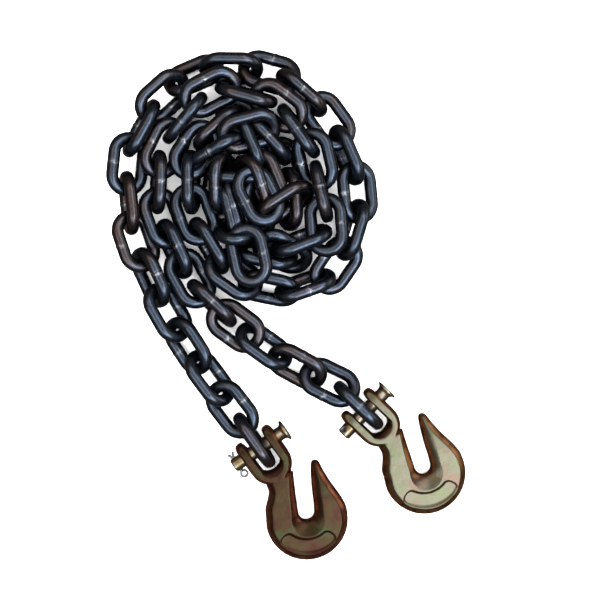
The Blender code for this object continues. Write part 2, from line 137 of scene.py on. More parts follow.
def curve_at(run):
    """Place and outward direction at a run along the centre curve, and how far round a crown it is."""
    half = 2 * HALF_LEG + math.pi * CROWN
    side = 1 if run % (2 * half) < half else -1
    run %= half
    if run < 2 * HALF_LEG:
        return side * np.array((run - HALF_LEG, CROWN, 0)), side * np.array((0.0, 1.0, 0.0)), 0.0
    angle = (run - 2 * HALF_LEG) / CROWN
    out = side * np.array((math.sin(angle), math.cos(angle), 0.0))
    return side * np.array((HALF_LEG, 0, 0)) + out * CROWN, out, math.sin(angle)


def small_turns(vectors):
    """3 x 3 turns about these vectors, each by its length in radians."""
    angle = np.linalg.norm(vectors, axis=1)
    axis = vectors / np.maximum(angle, 1e-12)[:, None]
    cross = np.cross(np.eye(3)[None], axis[:, None])
    sine, cosine = np.sin(angle)[:, None, None], np.cos(angle)[:, None, None]
    return np.eye(3) + sine * cross + (1 - cosine) * (cross @ cross)


AROUND = 2 * (2 * HALF_LEG + math.pi * CROWN)
curve = np.array([curve_at(AROUND * step / CURVE_POINTS)[0] for step in range(CURVE_POINTS)])
print("wire in one link:", round(AROUND * 1000), "mm")

# %% Ease the fold's links apart
ROUNDS = 600
LAYING = 220  # of them, in which a link still sinks and is drawn back to where it was laid
SINK = 0.00010
HOLD = 0.03
FOLD_REACH = 0.11  # from the fold's middle, within which a solid link can be in its way
LINK_REACH = 0.068  # between the centres of two links, beyond which their wires can't meet
CEILING = cad_box[1].z - 0.0004
FLOOR = WIRE / 2 + 0.0003


def ease_apart(centres, turns):
    """Lets the fold's links down, then moves and turns them apart for a set number of rounds."""
    middle = centres[:, :2].mean(0)
    fixed = [place for place in places.values() if np.linalg.norm(place[0][:2] - middle) < FOLD_REACH]
    count = len(centres)
    centres = np.vstack((centres, [place[0] for place in fixed]))
    turns = np.concatenate((turns, [place[1] for place in fixed]))
    home, home_turns = centres[:count].copy(), turns[:count].copy()
    inertia = 3.2 * WIRE**2  # of a link about any line through its middle, for each unit of its mass
    for number in range(ROUNDS):
        if number < LAYING:
            centres[:count, 2] -= SINK
            centres[:count, :2] += HOLD * (home - centres[:count])[:, :2]
            off = home_turns @ turns[:count].transpose(0, 2, 1)
            off = off - off.transpose(0, 2, 1)
            back = np.stack((off[:, 2, 1], off[:, 0, 2], off[:, 1, 0]), 1)
            turns[:count] = small_turns(HOLD / 2 * back) @ turns[:count]
        wires = np.einsum("nij,mj->nmi", turns, curve) + centres[:, None]
        if number % 10 == 0:
            apart = np.linalg.norm(centres[:count, None] - centres, axis=2)
            later = np.arange(len(centres)) > np.arange(count)[:, None]
            first, second = np.where((apart < LINK_REACH) & later)
        move, turn, touching = np.zeros((count, 3)), np.zeros((count, 3)), np.ones(count)
        for limit, sign in ((FLOOR, 1), (CEILING - WIRE / 2, -1)):
            worst = wires[np.arange(count), (sign * wires[:count, :, 2]).argmin(1)]
            beyond = np.maximum(0, sign * (limit - worst[:, 2]))[:, None] * (0, 0, sign)
            move += beyond / 2
            turn += np.cross(worst - centres[:count], beyond) / inertia / 2
        gaps = ((wires[first][:, :, None] - wires[second][:, None]) ** 2).sum(-1).reshape(len(first), -1)
        closest = gaps.argmin(1)
        distance = np.sqrt(gaps[np.arange(len(first)), closest])
        at_first, at_second = wires[first, closest // CURVE_POINTS], wires[second, closest % CURVE_POINTS]
        push = (at_first - at_second) / np.maximum(distance, 1e-9)[:, None]
        push *= np.maximum(0, WIRE + AIR - distance)[:, None]
        for link, at, away in ((first, at_first, push), (second, at_second, -push)):
            loose = link < count
            share = np.where(second < count, 0.5, 1.0)[loose, None]
            lever = at[loose] - centres[link[loose]]
            ease = 1 + (lever**2).sum(1)[:, None] / inertia
            np.add.at(move, link[loose], share * away[loose] / ease)
            np.add.at(turn, link[loose], share * np.cross(lever, away[loose]) / inertia / ease)
            np.add.at(touching, link[loose], np.linalg.norm(away[loose], axis=1) > 0)
        easing = (1 / np.sqrt(touching))[:, None]
        centres[:count] += move * easing
        turns[:count] = small_turns(turn * easing) @ turns[:count]
    heights = np.einsum("ni,mi->nm", turns[:count, 2], curve) + centres[:count, 2:3]
    centres[:count, 2] += np.maximum(0, FLOOR - heights.min(1))
    centres[:count, 2] -= np.maximum(0, heights.max(1) - CEILING + WIRE / 2)
    print("closest wires in the fold:", round(distance.min() * 1000, 1), "mm apart, centre to centre")
    return centres[:count], turns[:count]


fold_centres, fold_turns = ease_apart(*fold_places())
for index, place in enumerate(zip(fold_centres, fold_turns)):
    places[f"fold_{index + 1:02d}"] = place

# %% [markdown]
# ## Materials: from hex colours to nodes
# Colours are written as sRGB hex, as a paint chart or a picture editor gives them. Blender's
# shaders work in linear light, so one function turns them. One more function adds a node with its
# settings and links, which keeps each material a short list.

# %% Helpers for materials


def linear(code):
    """A #rrggbb colour as linear RGBA."""
    values = [int(code[i : i + 2], 16) / 255 for i in (1, 3, 5)]
    return (*[v / 12.92 if v <= 0.04045 else ((v + 0.055) / 1.055) ** 2.4 for v in values], 1.0)


def per_metre(millimetres):
    """The scale of a texture whose pattern repeats about every so many millimetres."""
    return 1000 / millimetres


def add(tree, kind, settings=None, **sockets):
    """A node with its properties set, and each socket given a value or linked to another's output."""
    node = tree.nodes.new(kind)
    for name, value in (settings or {}).items():
        setattr(node, name, value)
    for name, value in sockets.items():
        socket = node.inputs[int(name[1:])] if name[1:].isdigit() else node.inputs[name.replace("_", " ")]
        if isinstance(value, bpy.types.NodeSocket):
            tree.links.new(value, socket)
        else:
            socket.default_value = value
    return node


def ramp(tree, factor, stops):
    """A colour ramp through (position, colour) stops."""
    node = add(tree, "ShaderNodeValToRGB", Fac=factor)
    elements = node.color_ramp.elements
    while len(elements) < len(stops):
        elements.new(0.5)
    for element, (position, colour) in zip(elements, stops):
        element.position = position
        element.color = colour
    return node.outputs["Color"]


def new_finish(name):
    made = bpy.data.materials.new(name)
    made.use_nodes = True
    tree = made.node_tree
    shader = tree.nodes["Principled BSDF"]
    return made, tree, shader


def wire_to(tree, shader, **sockets):
    """Links outputs, or sets values, on the shader's own sockets."""
    for name, value in sockets.items():
        socket = shader.inputs[name.replace("_", " ")]
        if isinstance(value, bpy.types.NodeSocket):
            tree.links.new(value, socket)
        else:
            socket.default_value = value


print("white as linear light:", linear("#ffffff"))

# %% [markdown]
# ## Black oxide on drawn steel
# Chain like this is alloy steel wire, cut, bent, flash welded and hardened. Its skin is a black
# oxide with a trace of oil: nearly black where it reflects nothing, with broad soft highlights that
# lean to blue, and to brown where the oxide is thinner. It is a metal, so it keeps the default IOR
# and its colour sits in the reflection. The skin has a fine grain of scale and long shallow dents
# from the tumbling drum.

# %% Black oxide


def black_oxide():
    made, tree, shader = new_finish("black_oxide_steel")
    where = add(tree, "ShaderNodeTexCoord").outputs["Object"]
    tint = add(tree, "ShaderNodeAttribute", {"attribute_name": "oxide_tint"}).outputs["Fac"]
    drift = add(tree, "ShaderNodeTexNoise", Vector=where, Scale=per_metre(22), Detail=3.0, Roughness=0.6)
    mixed = add(tree, "ShaderNodeMath", {"operation": "ADD"}, _0=drift.outputs["Fac"], _1=tint)
    blue_to_brown = (
        (0.25, linear("#3f4853")),
        (0.50, linear("#434a55")),
        (0.72, linear("#4a4648")),
        (0.95, linear("#50433f")),
    )
    colour = ramp(tree, mixed.outputs[0], blue_to_brown)
    scale = add(tree, "ShaderNodeTexNoise", Vector=where, Scale=per_metre(2.2), Detail=4.0, Roughness=0.65)
    weld = add(tree, "ShaderNodeAttribute", {"attribute_name": "weld"}).outputs["Fac"]
    worn = add(
        tree, "ShaderNodeMix", {"data_type": "RGBA"}, _0=weld, _6=colour, _7=linear("#8b9097")
    ).outputs[2]
    rough = add(
        tree,
        "ShaderNodeMapRange",
        Value=scale.outputs["Fac"],
        From_Min=0.3,
        From_Max=0.7,
        To_Min=0.24,
        To_Max=0.38,
    )
    dents = add(tree, "ShaderNodeTexNoise", Vector=where, Scale=per_metre(7), Detail=1.0)
    skin = add(tree, "ShaderNodeBump", Strength=0.35, Distance=0.00012, Height=scale.outputs["Fac"])
    relief = add(
        tree,
        "ShaderNodeBump",
        Strength=0.5,
        Distance=0.0005,
        Height=dents.outputs["Fac"],
        Normal=skin.outputs["Normal"],
    )
    wire_to(tree, shader, Base_Color=worn, Roughness=rough.outputs[0], Metallic=1.0)
    wire_to(tree, shader, Normal=relief.outputs["Normal"])
    return made


oxide = black_oxide()
print("finish:", oxide.name)

# %% [markdown]
# ## A link
# A link is a straight piece of wire bent round until its two ends meet in the middle of one leg,
# where a flash weld joins them. The press squeezes the hot ends together, a ridge of steel stands
# out all round, and a trimming tool takes most of it off. So the mesh is a circle swept round the
# centre curve, with closer rings at the weld, where the radius follows the ridge, the trimming
# groove beside it and the burrs that the tool left. Wire that is bent flattens a little, so the
# crowns are slightly oval. Each link is its own mesh with its own weld.

# %% The link's mesh
SIDES = 20
WELD_REACH = 0.0034
SKIN = 0.00012  # by which the wire is drawn thinner, to stay inside the solids' box
BEND_FLATTENING = 0.00018


def ring_runs():
    """Runs along the centre curve: a ring every 1.5 mm, and every quarter of that at the weld."""
    weld_at = HALF_LEG
    coarse = np.arange(0, AROUND, 0.0015)
    coarse = coarse[np.abs(coarse - weld_at) > WELD_REACH]
    fine = np.arange(weld_at - WELD_REACH, weld_at + WELD_REACH, 0.00038)
    return np.sort(np.concatenate((coarse, fine))), weld_at


def weld_height(off, angle, chance):
    """The ridge, its groove and burrs, by the distance off the weld's middle and the angle round it."""
    off = off + 0.0005 * math.sin(2 * angle + chance[0]) + 0.0003 * math.sin(5 * angle + chance[1])
    patchy = 0.5 + 0.5 * math.sin(2 * angle + chance[3]) * math.sin(3 * angle + chance[2])
    ridge = 0.00032 * patchy * math.exp(-((off / 0.0010) ** 2))
    groove = 0.00020 * patchy * math.exp(-(((off - 0.0019) / 0.00040) ** 2))
    burr = 0.00050 * max(0.0, math.sin(5 * angle + chance[2]) * math.sin(3 * angle + chance[3]) - 0.30)
    return ridge - groove + burr * math.exp(-((off / 0.0015) ** 2))


def link_mesh(name, seed):
    random = np.random.default_rng(seed)
    chance = random.uniform(0, 2 * math.pi, 4)
    strength = random.uniform(0.5, 1.15)
    runs, weld_at = ring_runs()
    points, welded = [], []
    for run in runs:
        at, out, bend = curve_at(run)
        off = run - weld_at
        for side in range(SIDES):
            angle = 2 * math.pi * side / SIDES
            swell = 0.0
            if abs(off) < 1.3 * WELD_REACH:
                swell = strength * weld_height(off, angle, chance)
            radius = WIRE / 2 - SKIN - BEND_FLATTENING * bend * math.cos(2 * angle) ** 2 + swell
            points.append(at + radius * (math.cos(angle) * out + math.sin(angle) * np.array((0, 0, 1.0))))
            welded.append(min(1.0, abs(swell) / 0.00030))
    count = len(runs)
    faces = []
    for ring in range(count):
        for side in range(SIDES):
            after, corner = (ring + 1) % count, (side + 1) % SIDES
            here, there = ring * SIDES, after * SIDES
            faces.append((here + side, here + corner, there + corner, there + side))
    mesh = bpy.data.meshes.new(name)
    mesh.from_pydata(points, [], faces)
    mesh.attributes.new("weld", "FLOAT", "POINT").data.foreach_set("value", welded)
    tint = np.full(len(points), random.uniform(-0.22, 0.22))
    mesh.attributes.new("oxide_tint", "FLOAT", "POINT").data.foreach_set("value", tint)
    mesh.shade_smooth()
    mesh.materials.append(oxide)
    return mesh


first_link = link_mesh("trial", 1)
print("faces in a link:", len(first_link.polygons))
bpy.data.meshes.remove(first_link)

# %% Every link, on the body that carries it


def as_matrix(centre, turn):
    matrix = Matrix([list(row) for row in turn]).to_4x4()
    matrix.translation = Vector(centre)
    return matrix


def carrier(node):
    """The body that holds a solid."""
    bodies = frame["record"]["behaviour"]["bodies"]
    return next(body for body, members in bodies.items() if node in members)


for number, (name, (centre, turn)) in enumerate(sorted(places.items())):
    flip = Matrix.Rotation(math.pi * (number * 7 % 3 == 0), 4, "Z")
    mesh = link_mesh(name, 40 + number)
    mesh.transform(as_matrix(centre, turn) @ flip)
    piece = bpy.data.objects.new(name.replace("link", "round_link"), mesh)
    bpy.context.collection.objects.link(piece)
    if name in link_nodes:
        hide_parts(name)
        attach(piece, carrier(name))
    else:
        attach(piece, "coil")
print("links shown:", len(places))

# %% [markdown]
# ## The hooks' frame
# Each hook turns on its clevis pin, so its own frame has its origin on the pin's axis: X runs along
# the pin, Y from the chain towards the hook, and Z down through its flat sides. The joint gives X,
# and the flat face that the record states gives Z.

# %% Read the hooks' frames


def hook_frame(arm):
    joint = joints[f"hook_{arm}_lift"]
    side = -Vector(joint["axis"]).normalized()
    down = -Vector(mounts[f"hook_{arm}_face"]["axis"]).normalized()
    ahead = down.cross(side).normalized()
    matrix = Matrix((side, ahead, side.cross(ahead))).transposed().to_4x4()
    matrix.translation = Vector(joint["pos_m"])
    return matrix


print("hook a stands on", [round(v, 3) for v in hook_frame("a").translation])

# %% [markdown]
# ## The forged hook
# A grab hook is drop forged: a hot bar is struck between two dies, which leaves two flat sides,
# flanks that slope to the parting line at half its thickness so that it comes out of the die, and a
# rounded edge between them. Its slot is just wider than the wire, so that it grips one link on
# edge. The shape is a section swept through stations, from the clevis down the shank, round the
# belly and up to the tip. The clevis is swept in the same way. The two are joined and rounded by a
# voxel remesh, which blends their meeting as a forging's fillet does. The belly's upper face has a
# crescent panel sunk in it, where a maker would put a mark. Here it is left plain.

# %% The hook's sizes, in metres
EAR_GAP = 0.0160
EAR_THICKNESS = 0.0090
EAR_END = 0.0120
CLEVIS_DEPTH = 0.0225
CLEVIS_DRAFT = 0.0028  # by which its bottom stands nearer to the pin at the parting line than at the face
PIN_RADIUS = 0.0055
BORE_RADIUS = PIN_RADIUS + 0.0003
THROAT = 0.0125
BELLY_RADIUS = 0.0324
BELLY_DROP = 0.0059
SLOT_ANGLE = math.radians(30)
SLOT_REACH = 0.0622
SLOT_OFFSET = 0.0008
NECK_WIDTH = 0.0216
TIP_HEIGHT = 0.0400
HALF_THICK = 0.0175 / 2
VOXEL = 0.00048

# %% Smooth rows and a section with flanks


def between(bm, rings):
    """Faces between each ring of corners and the next. A ring may be a single point."""
    sides = max(len(ring) for ring in rings)
    for here, after in zip(rings, rings[1:]):
        for side in range(sides):
            corner = (side + 1) % sides
            corners = (here[side % len(here)], here[corner % len(here)])
            corners += (after[corner % len(after)], after[side % len(after)])
            bm.faces.new(list(dict.fromkeys(corners)))


def capped(bm, rings):
    """The same, closed by a face at each end and turned outwards."""
    between(bm, rings)
    bm.faces.new(rings[0])
    bm.faces.new(list(reversed(rings[-1])))
    bmesh.ops.recalc_face_normals(bm, faces=bm.faces)


def standing(bm, name):
    """An object in the scene from a bmesh."""
    mesh = bpy.data.meshes.new(name)
    bm.to_mesh(mesh)
    bm.free()
    made = bpy.data.objects.new(name, mesh)
    bpy.context.collection.objects.link(made)
    return made


def smooth_rows(rows, steps=5):
    """Rows of numbers with more rows between them, on Catmull-Rom curves through the given ones."""
    rows = np.array(rows, float)
    padded = np.vstack((2 * rows[0] - rows[1], rows, 2 * rows[-1] - rows[-2]))
    dense = []
    for p0, p1, p2, p3 in zip(padded, padded[1:], padded[2:], padded[3:]):
        for step in range(steps):
            t = step / steps
            bent = 2 * p0 - 5 * p1 + 4 * p2 - p3
            dense.append(p1 + 0.5 * t * ((p2 - p0) + t * (bent + t * (3 * (p1 - p2) + p3 - p0))))
    dense.append(rows[-1])
    return np.array(dense)


FLANK = [(0.0, 0.0), (0.012, 0.16), (0.05, 0.34), (0.14, 0.50)]  # from the parting line up to the face
FLANK += [(0.30, 0.64), (0.52, 0.78), (0.78, 0.91), (1.0, 1.0)]


def forging(name, rows):
    """A closed body through rows of inner x, y, outer x, y, inner flank, outer flank and half thickness."""
    bm = bmesh.new()
    rings = []
    for row in rows:
        inner, outer = Vector((row[0], row[1], 0)), Vector((row[2], row[3], 0))
        width = (outer - inner).length
        across = (outer - inner) / width
        in_flank, out_flank = min(row[4], 0.46 * width), min(row[5], 0.46 * width)
        top = [inner + across * in_flank * x + Vector((0, 0, row[6] * z)) for x, z in FLANK]
        top += [outer - across * out_flank * x + Vector((0, 0, row[6] * z)) for x, z in reversed(FLANK)]
        below = [Vector((p.x, p.y, -p.z)) for p in reversed(top[1:-1])]
        rings.append([bm.verts.new(point) for point in top + below])
    capped(bm, rings)
    return standing(bm, name)


print("points in a section:", 4 * len(FLANK) - 2)

# %% The clevis


def clevis_rows():
    """The U about the pin: up one ear, round the bottom and down the other."""
    inner, outer = EAR_GAP / 2, EAR_GAP / 2 + EAR_THICKNESS
    bottom = CLEVIS_DEPTH - inner
    ear = [(-EAR_END, 0.0026, 0.40), (-0.96 * EAR_END, 0.0018, 0.56), (-0.82 * EAR_END, 0.0008, 0.76)]
    ear += [(-0.45 * EAR_END, 0.0, 0.95), (0.0, 0.0, 1.0), (bottom, 0.0, 1.0)]
    rows = [(inner + pare, y, outer - pare, y, 0.0014, 0.0027, thick * HALF_THICK) for y, pare, thick in ear]
    for step in range(1, 8):
        angle = math.pi * step / 8
        swing = (math.cos(angle), math.sin(angle))
        near = (inner * swing[0], bottom + (inner - CLEVIS_DRAFT) * swing[1])
        far = (outer * swing[0], bottom + outer * swing[1])
        rows.append((*near, *far, 0.0014 + 0.0030 * swing[1], 0.0030, HALF_THICK))
    rows += [(-row[0], row[1], -row[2], *row[3:]) for row in reversed(rows[: len(ear)])]
    return smooth_rows(rows, 4)


print("stations round the clevis:", len(clevis_rows()))

# %% The shank, the belly and the tip


def belly_reach(angle):
    """From the slot's centre out to the belly's edge."""
    along = BELLY_DROP * math.sin(angle)
    return math.sqrt(BELLY_RADIUS**2 - BELLY_DROP**2 + along**2) - along


def from_slot(x, y):
    """The slot's own coordinates, tip side and opening, in the hook's frame."""
    sine, cosine = math.sin(SLOT_ANGLE), math.cos(SLOT_ANGLE)
    return SLOT_OFFSET + cosine * x + sine * y, SLOT_REACH + sine * x - cosine * y


def hook_rows():
    wall, shank = THROAT / 2, SLOT_REACH - CLEVIS_DEPTH
    neck = wall + NECK_WIDTH
    rows = []
    for near, near_y, far, far_y, flank in (
        (0.0012, 0.83, 0.0014, 0.60, 0.0042), (0.0010, 0.60, 0.0001, 0.46, 0.0047),
        (0.0007, 0.39, 0.0014, 0.31, 0.0052), (0.0003, 0.19, 0.0038, 0.14, 0.0055),
    ):
        rows.append((-wall - near, near_y * shank, -neck - far, far_y * shank, flank, 0.0056, HALF_THICK))
    for step in range(9):
        angle = math.pi * (1 + step / 8)
        x, y, reach = math.cos(angle), math.sin(angle), belly_reach(angle)
        saddle = 0.0056 + 0.0056 * math.sin(math.pi * step / 8) ** 1.5 + 0.0014 * step / 8
        rows.append((wall * x, wall * y, reach * x, reach * y, saddle, 0.0056, HALF_THICK))
    side = belly_reach(0)
    for height, inset, width, thick in (
        (0.20, 0.0000, 0.89, 1.00), (0.34, 0.0003, 0.78, 0.98), (0.50, 0.0004, 0.63, 0.95),
        (0.64, 0.0003, 0.51, 0.90), (0.80, 0.0001, 0.38, 0.80), (0.93, -0.0004, 0.28, 0.64),
        (0.985, -0.0013, 0.19, 0.48), (1.0, -0.0024, 0.10, 0.34),
    ):
        near = wall - inset
        y = height * TIP_HEIGHT
        rows.append((near, y, near + (side - wall) * width, y, 0.0070, 0.0058, thick * HALF_THICK))
    placed = [(*from_slot(row[0], row[1]), *from_slot(row[2], row[3]), *row[4:]) for row in rows]
    return smooth_rows(placed, 5)


print("stations down the hook:", len(hook_rows()))

# %% The crescent panel sunk in the belly's face
PANEL_FROM, PANEL_TO = math.radians(-140), math.radians(-43)
PANEL_RADIUS, PANEL_HALF = 0.0256, 0.0046
PANEL_DEPTH = 0.0012
PANEL_SLOPE = 0.0024


def panel_cutter():
    """A curved slab with round ends and sloping walls, sunk in the face by the panel's depth."""
    steps, rings = 36, []
    middle, half_turn = (PANEL_FROM + PANEL_TO) / 2, (PANEL_TO - PANEL_FROM) / 2
    bm = bmesh.new()
    for step in range(steps + 1):
        share = -math.cos(math.pi * step / steps)
        past = max(0.0, (abs(share) - 1) * half_turn * PANEL_RADIUS + PANEL_HALF)
        half = max(0.0004, math.sqrt(max(0.0, PANEL_HALF**2 - past**2)))
        angle = middle + share * half_turn
        ring = []
        for reach, z in ((1.0, -PANEL_DEPTH), (-1.0, -PANEL_DEPTH), (-1.0, 0.0004), (1.0, 0.0004)):
            radius = PANEL_RADIUS + reach * (half + (PANEL_SLOPE if z > 0 else 0.0))
            x, y = from_slot(radius * math.cos(angle), radius * math.sin(angle))
            ring.append(bm.verts.new((x, y, -HALF_THICK - z)))
        rings.append(ring)
    capped(bm, rings)
    return standing(bm, "panel")


print("panel:", round(2 * (PANEL_HALF + PANEL_SLOPE) * 1000), "mm wide")

# %% Join, cut, remesh and round off


def applied(thing):
    """Applies the modifiers of an object and returns its mesh."""
    graph = bpy.context.evaluated_depsgraph_get()
    mesh = bpy.data.meshes.new_from_object(thing.evaluated_get(graph))
    thing.modifiers.clear()
    thing.data = mesh
    return mesh


def combine(thing, other, operation):
    change = thing.modifiers.new(operation.lower(), "BOOLEAN")
    change.operation, change.solver, change.object = operation, "EXACT", other
    applied(thing)
    bpy.data.objects.remove(other, do_unlink=True)


def cylinder(radius, reach):
    """Along X, about the origin."""
    bm = bmesh.new()
    bmesh.ops.create_cone(
        bm, cap_ends=True, segments=48, radius1=radius, radius2=radius, depth=reach
    )
    bmesh.ops.rotate(bm, matrix=Matrix.Rotation(math.pi / 2, 3, "Y"), verts=bm.verts)
    return standing(bm, "cylinder")


def forged_hook():
    hook = forging("forged_hook", clevis_rows())
    combine(hook, forging("shank", hook_rows()), "UNION")
    combine(hook, cylinder(BORE_RADIUS, 0.08), "DIFFERENCE")
    combine(hook, panel_cutter(), "DIFFERENCE")
    voxels = hook.modifiers.new("voxels", "REMESH")
    voxels.mode, voxels.voxel_size, voxels.use_smooth_shade = "VOXEL", VOXEL, True
    round_off = hook.modifiers.new("round_off", "SMOOTH")
    round_off.factor, round_off.iterations = 0.5, 4
    mesh = applied(hook)
    bpy.data.objects.remove(hook, do_unlink=True)
    mesh.shade_smooth()
    return mesh


hook_mesh = forged_hook()
print("faces in the hook:", len(hook_mesh.polygons))

# %% [markdown]
# ## Yellow chromate on zinc
# The hooks are zinc plated and dipped in a yellow chromate. The film is thin and uneven, so it shifts between pale
# gold, green and rose on the flat sides, and it builds up brown on the sloping flanks and in the slot. On the
# flanks that brown is also painted light: its colour is several times brighter than the faces', and it stands in
# for the light that the flanks reflect, which is dim in this scene. The steel under the film was shot blasted,
# which leaves a fine grain. One hook's film is pale, the other's a dark bronze. Both are darker than a swatch
# would be, because the lights are several times brighter than full white. The share of face and flank comes from
# the normal in the piece's own coordinates, so it moves with the hook.

# %% Yellow chromate


def yellow_chromate(name, pale, green, rose, flank, deep, roughness):
    made, tree, shader = new_finish(name)
    coordinates = add(tree, "ShaderNodeTexCoord")
    where = coordinates.outputs["Object"]
    axes = add(tree, "ShaderNodeSeparateXYZ", Vector=coordinates.outputs["Normal"])
    flatness = add(tree, "ShaderNodeMath", {"operation": "ABSOLUTE"}, _0=axes.outputs["Z"]).outputs[0]
    cloud = add(tree, "ShaderNodeTexNoise", Vector=where, Scale=per_metre(14), Detail=3.0, Roughness=0.55)
    film_colours = ((0.32, linear(green)), (0.46, linear(pale)), (0.54, linear(pale)), (0.66, linear(rose)))
    face = ramp(tree, cloud.outputs["Fac"], film_colours)
    streak = add(tree, "ShaderNodeTexNoise", Vector=where, Scale=per_metre(9), Detail=4.0, Roughness=0.6)
    # The flanks' colour is a brown film, painted several times brighter than the faces' colour as painted light
    # for what the flanks reflect.
    side = ramp(tree, streak.outputs["Fac"], ((0.36, linear(deep)), (0.60, linear(flank))))
    on_face = add(
        tree,
        "ShaderNodeMapRange",
        {"interpolation_type": "SMOOTHSTEP"},
        Value=flatness,
        From_Min=0.62,
        From_Max=0.93,
    ).outputs[0]
    film_and_painted_flank_light = add(tree, "ShaderNodeMix", {"data_type": "RGBA"}, _0=on_face, _6=side, _7=face).outputs[2]
    grain = add(tree, "ShaderNodeTexNoise", Vector=where, Scale=per_metre(1.1), Detail=3.0, Roughness=0.6)
    forged = add(tree, "ShaderNodeTexNoise", Vector=where, Scale=per_metre(12), Detail=2.0)
    skin = add(tree, "ShaderNodeBump", Strength=0.4, Distance=0.00010, Height=grain.outputs["Fac"])
    relief = add(
        tree,
        "ShaderNodeBump",
        Strength=0.5,
        Distance=0.0006,
        Height=forged.outputs["Fac"],
        Normal=skin.outputs["Normal"],
    )
    rough = add(
        tree,
        "ShaderNodeMapRange",
        Value=grain.outputs["Fac"],
        From_Min=0.3,
        From_Max=0.7,
        To_Min=roughness - 0.05,
        To_Max=roughness + 0.06,
    )
    wire_to(tree, shader, Base_Color=film_and_painted_flank_light, Roughness=rough.outputs[0], Metallic=1.0)
    wire_to(tree, shader, Normal=relief.outputs["Normal"])
    return made


# One hook's film is a dark bronze and the other's a pale straw.
bronze = yellow_chromate("bronze_chromate", "#35291c", "#313321", "#35211b", "#a06a50", "#6a3a2c", 0.32)
straw = yellow_chromate("straw_chromate", "#5a5747", "#55593f", "#5f5043", "#a9774c", "#6b4423", 0.32)
print("finishes:", bronze.name, straw.name)

# %% Place the hooks
for arm, finish in (("a", bronze), ("b", straw)):
    mesh = hook_mesh.copy()
    mesh.materials.append(finish)
    mesh.transform(hook_frame(arm))
    piece = bpy.data.objects.new(f"forged_hook_{arm}", mesh)
    bpy.context.collection.objects.link(piece)
    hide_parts(f"grab_hook_{arm}")
    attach(piece, f"hook_{arm}")
bpy.data.meshes.remove(hook_mesh)
print("hooks placed")

# %% [markdown]
# ## The clevis pin and its cotter pin
# The clevis pin is turned and headed: a plain shank, a short cone under a thin round head, and a
# hole near its other end. A cotter pin goes through that hole. It is a wire bent back on itself: an
# eye, two legs that lie together in the hole, and ends bent apart.

# %% The clevis pin
HEAD_REACH = 0.0060
HEAD_RADIUS = 0.0085
HEAD_THICKNESS = 0.0022
TAIL_REACH = 0.0078
COTTER_RADIUS = 0.0015
EAR_FACE = EAR_GAP / 2 + EAR_THICKNESS
COTTER_AT = -(EAR_FACE + 0.55 * TAIL_REACH)


def pin_profile():
    """(along, radius) pairs of the turned pin, from its tail to its head."""
    tail, neck = -(EAR_FACE + TAIL_REACH), EAR_FACE + HEAD_REACH
    points = [(tail, 0.0), (tail, PIN_RADIUS - 0.0012), (tail + 0.0002, PIN_RADIUS - 0.0008)]
    points += [(tail + 0.0010, PIN_RADIUS), (neck - 0.0022, PIN_RADIUS)]
    points += [(neck - 0.0018, PIN_RADIUS + 0.0002), (neck - 0.0002, PIN_RADIUS + 0.0013)]
    points += [(neck, PIN_RADIUS + 0.0017), (neck, HEAD_RADIUS - 0.0005)]
    points += [(neck + 0.0002, HEAD_RADIUS - 0.0001), (neck + 0.0007, HEAD_RADIUS)]
    face = neck + HEAD_THICKNESS
    points += [(neck + 0.0013, HEAD_RADIUS), (face - 0.0003, HEAD_RADIUS - 0.0003)]
    points += [(face - 0.0001, HEAD_RADIUS - 0.0010), (face, 0.0050), (face, 0.0)]
    return points


def clevis_pin():
    sides, profile = 56, pin_profile()
    bm = bmesh.new()
    rings = [[bm.verts.new((profile[0][0], 0, 0))]]
    for x, radius in profile[1:-1]:
        angles = [2 * math.pi * side / sides for side in range(sides)]
        rings.append([bm.verts.new((x, radius * math.cos(a), radius * math.sin(a))) for a in angles])
    rings.append([bm.verts.new((profile[-1][0], 0, 0))])
    between(bm, rings)
    bmesh.ops.recalc_face_normals(bm, faces=bm.faces)
    pin = standing(bm, "clevis_pin")
    hole = cylinder(COTTER_RADIUS + 0.0003, 0.03)
    hole.matrix_world = Matrix.Translation((COTTER_AT, 0, 0)) @ Matrix.Rotation(math.pi / 2, 4, "Z")
    bpy.context.view_layer.update()
    combine(pin, hole, "DIFFERENCE")
    mesh = pin.data
    bpy.data.objects.remove(pin, do_unlink=True)
    mesh.shade_smooth()
    mesh.set_sharp_from_angle(angle=math.radians(35))
    return mesh


pin_mesh = clevis_pin()
print("faces in the pin:", len(pin_mesh.polygons))

# %% The cotter pin
EYE_RADIUS = 0.0025
COTTER_WIRE = 0.0008  # radius of one leg
LEG_GAP = 0.00086  # from the middle of the pin to the middle of a leg


def cotter_route():
    """From one bent end through the hole, round the eye and back to the other end."""
    eye_at = -PIN_RADIUS - EYE_RADIUS - COTTER_RADIUS
    shank_end = PIN_RADIUS + 0.0021
    leg = [(0.0026, shank_end + 0.0018), (0.0017, shank_end + 0.0010), (0.0011, shank_end), (LEG_GAP, 0.004)]
    leg += [(LEG_GAP, 0.0), (LEG_GAP, -0.004), (LEG_GAP, eye_at + EYE_RADIUS + 0.0004)]
    eye = []
    for step in range(1, 16):
        angle = math.pi / 2 - 2 * math.pi * step / 16
        eye.append((EYE_RADIUS * math.cos(angle), eye_at + EYE_RADIUS * math.sin(angle)))
    back = [(-x, y) for x, y in reversed(leg)]
    return [(COTTER_AT + x, y, 0.0) for x, y in leg + eye + back]


